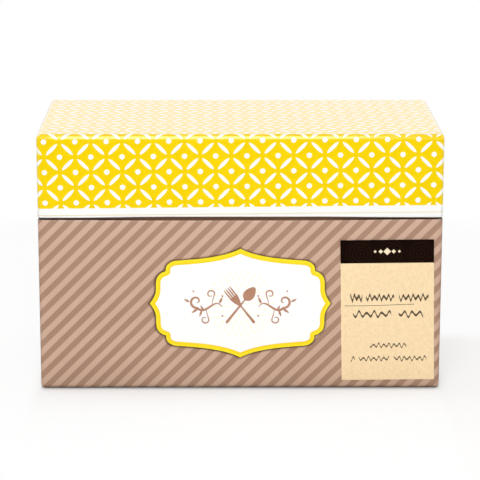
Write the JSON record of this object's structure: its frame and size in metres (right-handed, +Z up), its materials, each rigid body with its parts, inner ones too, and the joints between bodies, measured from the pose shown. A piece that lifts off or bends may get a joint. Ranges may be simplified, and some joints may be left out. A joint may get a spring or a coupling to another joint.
{
  "type": "recipe box",
  "caption": "Rigid paper-covered card box with a hinged lid closing over a brown neck, a die-cut front plaque, a paper label and tabbed card dividers inside.",
  "frame": {"origin": "middle of the footprint on the table", "axes": "+X to the box's right seen from the front, -Y out of the front with the plaque, +Z up"},
  "size_m": [0.18, 0.0908, 0.1168],
  "materials": {
    "greyboard": "raw grey board, matt",
    "striped_paper": "printed diagonal stripes, satin laminate",
    "trellis_paper": "printed trellis of white petals and dots, satin laminate",
    "plain_brown_paper": "plain uncoated paper",
    "brown_card": "smooth brown card, matt",
    "white_card": "smooth white card",
    "white_lining": "plain white lining paper",
    "hinge_paper": "reinforced hinge paper, fine linen emboss",
    "plaque_card": "coated card, printed yellow border",
    "label_paper": "kraft-look sticker paper, semi-matt",
    "divider_card": "printed index card, matt"
  },
  "bodies": {
    "base": {"base_board": "greyboard", "base_wrap": "striped_paper", "base_bottom_sheet": "plain_brown_paper", "neck": "brown_card", "floor_mat": "white_lining", "hinge_lining_base": "white_lining", "hinge_strip_base": "hinge_paper", "name_plaque": "plaque_card", "front_label": "label_paper"},
    "lid": {"lid_board": "greyboard", "lid_wrap": "trellis_paper", "lid_liner": "white_card", "ceiling_sheet": "white_lining", "hinge_lining_lid": "white_lining", "hinge_strip_lid": "hinge_paper"},
    "divider_1": {"divider_1": "divider_card"},
    "divider_2": {"divider_2": "divider_card"},
    "divider_3": {"divider_3": "divider_card"},
    "divider_4": {"divider_4": "divider_card"},
    "divider_5": {"divider_5": "divider_card"},
    "divider_6": {"divider_6": "divider_card"},
    "divider_7": {"divider_7": "divider_card"},
    "divider_8": {"divider_8": "divider_card"}
  },
  "joints": [
    {"name": "lid_hinge", "type": "hinge", "parent": "base", "child": "lid", "pos_m": [0, 0.04553, 0.07905], "axis": [-1, 0, 0], "range_deg": [0, 180]},
    {"name": "divider_1_tip", "type": "hinge", "parent": "base", "child": "divider_1", "pos_m": [0, 0.02826, 0.00365], "axis": [-1, 0, 0], "range_deg": [-25, 0]},
    {"name": "divider_2_tip", "type": "hinge", "parent": "base", "child": "divider_2", "pos_m": [0, 0.02916, 0.00365], "axis": [-1, 0, 0], "range_deg": [-22.75, 0]},
    {"name": "divider_3_tip", "type": "hinge", "parent": "base", "child": "divider_3", "pos_m": [0, 0.03006, 0.00365], "axis": [-1, 0, 0], "range_deg": [-20.5, 0]},
    {"name": "divider_4_tip", "type": "hinge", "parent": "base", "child": "divider_4", "pos_m": [0, 0.03096, 0.00365], "axis": [-1, 0, 0], "range_deg": [-18.25, 0]},
    {"name": "divider_5_tip", "type": "hinge", "parent": "base", "child": "divider_5", "pos_m": [0, 0.03186, 0.00365], "axis": [-1, 0, 0], "range_deg": [-16, 0]},
    {"name": "divider_6_tip", "type": "hinge", "parent": "base", "child": "divider_6", "pos_m": [0, 0.03276, 0.00365], "axis": [-1, 0, 0], "range_deg": [-13.75, 0]},
    {"name": "divider_7_tip", "type": "hinge", "parent": "base", "child": "divider_7", "pos_m": [0, 0.03366, 0.00365], "axis": [-1, 0, 0], "range_deg": [-11.5, 0]},
    {"name": "divider_8_tip", "type": "hinge", "parent": "base", "child": "divider_8", "pos_m": [0, 0.03456, 0.00365], "axis": [-1, 0, 0], "range_deg": [-9.25, 0]}
  ],
  "couplings": [
    {"joint": "divider_2_tip", "follows": "divider_1_tip", "ratio": 0.91},
    {"joint": "divider_3_tip", "follows": "divider_1_tip", "ratio": 0.82},
    {"joint": "divider_4_tip", "follows": "divider_1_tip", "ratio": 0.73},
    {"joint": "divider_5_tip", "follows": "divider_1_tip", "ratio": 0.64},
    {"joint": "divider_6_tip", "follows": "divider_1_tip", "ratio": 0.55},
    {"joint": "divider_7_tip", "follows": "divider_1_tip", "ratio": 0.46},
    {"joint": "divider_8_tip", "follows": "divider_1_tip", "ratio": 0.37}
  ]
}
